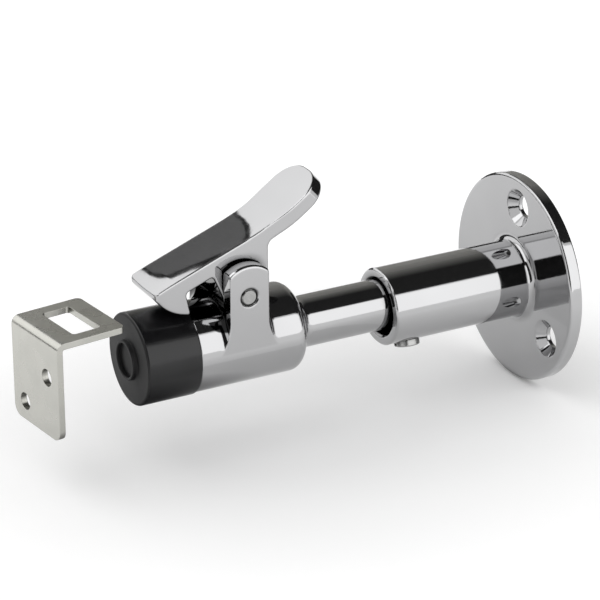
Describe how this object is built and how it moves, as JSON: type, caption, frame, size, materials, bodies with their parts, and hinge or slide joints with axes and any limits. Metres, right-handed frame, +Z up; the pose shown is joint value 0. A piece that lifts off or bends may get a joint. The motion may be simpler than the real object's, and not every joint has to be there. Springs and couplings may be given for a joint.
{
  "type": "door stop with catch",
  "caption": "Wall-mounted chrome door stop on a telescopic stem, with a rubber buffer and a sprung catch lever that hooks an angled keeper on the door to hold it open.",
  "frame": {"origin": "centre of the wall flange's back face", "axes": "+X along the stem away from the wall, +Z up with the catch lever on top, +Y to the right of someone who faces the wall flange from the door"},
  "size_m": [0.1267, 0.05, 0.0626],
  "materials": {
    "chrome_casting": "polished chrome plate",
    "plated_steel": "bright plated steel",
    "black_rubber": "moulded satin black",
    "spring_steel": "drawn wire",
    "stainless_sheet": "mill finish stainless sheet"
  },
  "bodies": {
    "base": {"wall_flange_socket": "chrome_casting", "keeper": "stainless_sheet"},
    "set_screw": {"set_screw": "plated_steel"},
    "stem": {"stem_and_head": "chrome_casting", "pivot_pin": "plated_steel", "rubber_buffer": "black_rubber", "lever_spring": "spring_steel"},
    "lever": {"catch_lever": "chrome_casting"}
  },
  "joints": [
    {"name": "stem_slide", "type": "slide", "parent": "base", "child": "stem", "axis": [1, 0, 0], "range_m": [-0.009, 0.01]},
    {"name": "lever_pivot", "type": "hinge", "parent": "stem", "child": "lever", "pos_m": [0.078, 0, 0.01435], "axis": [0, -1, 0], "range_deg": [0, 30], "stiffness_Nm_per_rad": 0.06, "springref_deg": -60.16, "deforming": ["lever_spring"]},
    {"name": "set_screw_turn", "type": "hinge", "parent": "base", "child": "set_screw", "pos_m": [0.0333, 0, 0], "axis": [0, 0.2756, -0.9613], "continuous": true}
  ]
}
